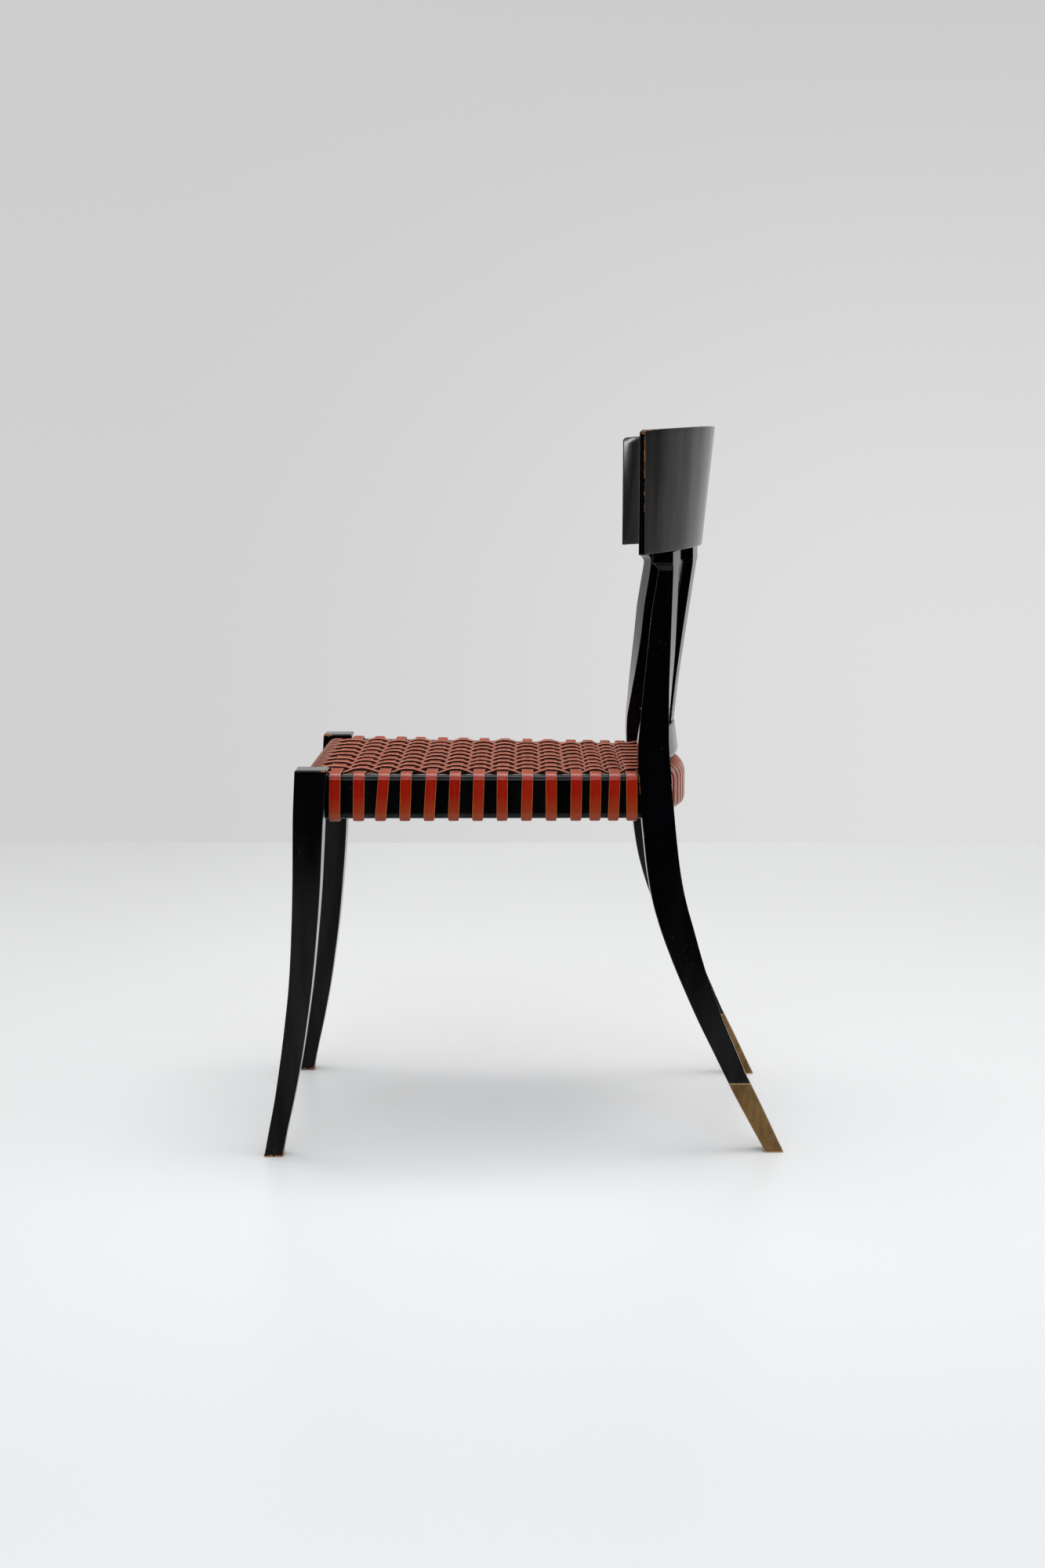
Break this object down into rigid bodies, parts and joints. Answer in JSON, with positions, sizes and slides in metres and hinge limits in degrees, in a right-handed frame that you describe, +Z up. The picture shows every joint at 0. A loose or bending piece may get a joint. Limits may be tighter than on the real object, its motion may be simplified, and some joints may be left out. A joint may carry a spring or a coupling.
{
  "type": "klismos dining chair",
  "caption": "Black lacquered klismos chair with sabre legs, a bowed crest rail, a woven red leather strap seat and brass-shod rear feet.",
  "frame": {"origin": "on the floor, under the middle of the chair's length and width", "axes": "+Z up, -X towards the front of the seat, +X towards the back, Y across the chair"},
  "size_m": [0.6264, 0.536, 0.8739],
  "materials": {
    "black_lacquer": "black lacquer over brown wood, satin gloss, rubbed through to orange brown on the edges",
    "red_leather": "red brown bridle leather straps, waxed and creased, with paler cut edges",
    "aged_brass": "dull brown patina with brighter rubbed edges",
    "raw_beech": "unfinished, sawn, darkened with age",
    "screw_steel": "dull steel"
  },
  "bodies": {
    "root": {"front_leg_left": "black_lacquer", "front_leg_right": "black_lacquer", "rear_leg_left": "black_lacquer", "rear_leg_right": "black_lacquer", "side_rail_left": "black_lacquer", "side_rail_right": "black_lacquer", "back_slat_left": "black_lacquer", "back_slat_right": "black_lacquer", "front_rail": "black_lacquer", "back_seat_rail": "black_lacquer", "lower_back_rail": "black_lacquer", "crest_rail": "black_lacquer", "rear_sabot_left": "aged_brass", "rear_sabot_right": "aged_brass", "sabot_pin_left": "aged_brass", "sabot_pin_right": "aged_brass", "corner_block_front_left": "raw_beech", "corner_block_front_right": "raw_beech", "corner_block_rear_left": "raw_beech", "corner_block_rear_right": "raw_beech", "block_screw_front_left_side": "screw_steel", "block_screw_front_left_cross": "screw_steel", "block_screw_front_right_side": "screw_steel", "block_screw_front_right_cross": "screw_steel", "block_screw_rear_left_side": "screw_steel", "block_screw_rear_left_cross": "screw_steel", "block_screw_rear_right_side": "screw_steel", "block_screw_rear_right_cross": "screw_steel", "cross_strap_01": "red_leather", "cross_strap_02": "red_leather", "cross_strap_03": "red_leather", "cross_strap_04": "red_leather", "cross_strap_05": "red_leather", "cross_strap_06": "red_leather", "cross_strap_07": "red_leather", "cross_strap_08": "red_leather", "cross_strap_09": "red_leather", "cross_strap_10": "red_leather", "cross_strap_11": "red_leather", "cross_strap_12": "red_leather", "cross_strap_13": "red_leather", "cross_strap_14": "red_leather", "long_strap_01": "red_leather", "long_strap_02": "red_leather", "long_strap_03": "red_leather", "long_strap_04": "red_leather", "long_strap_05": "red_leather", "long_strap_06": "red_leather", "long_strap_07": "red_leather", "long_strap_08": "red_leather", "long_strap_09": "red_leather", "long_strap_10": "red_leather", "long_strap_11": "red_leather", "long_strap_12": "red_leather", "long_strap_13": "red_leather", "long_strap_14": "red_leather", "long_strap_15": "red_leather", "long_strap_16": "red_leather", "long_strap_17": "red_leather"}
  },
  "joints": []
}
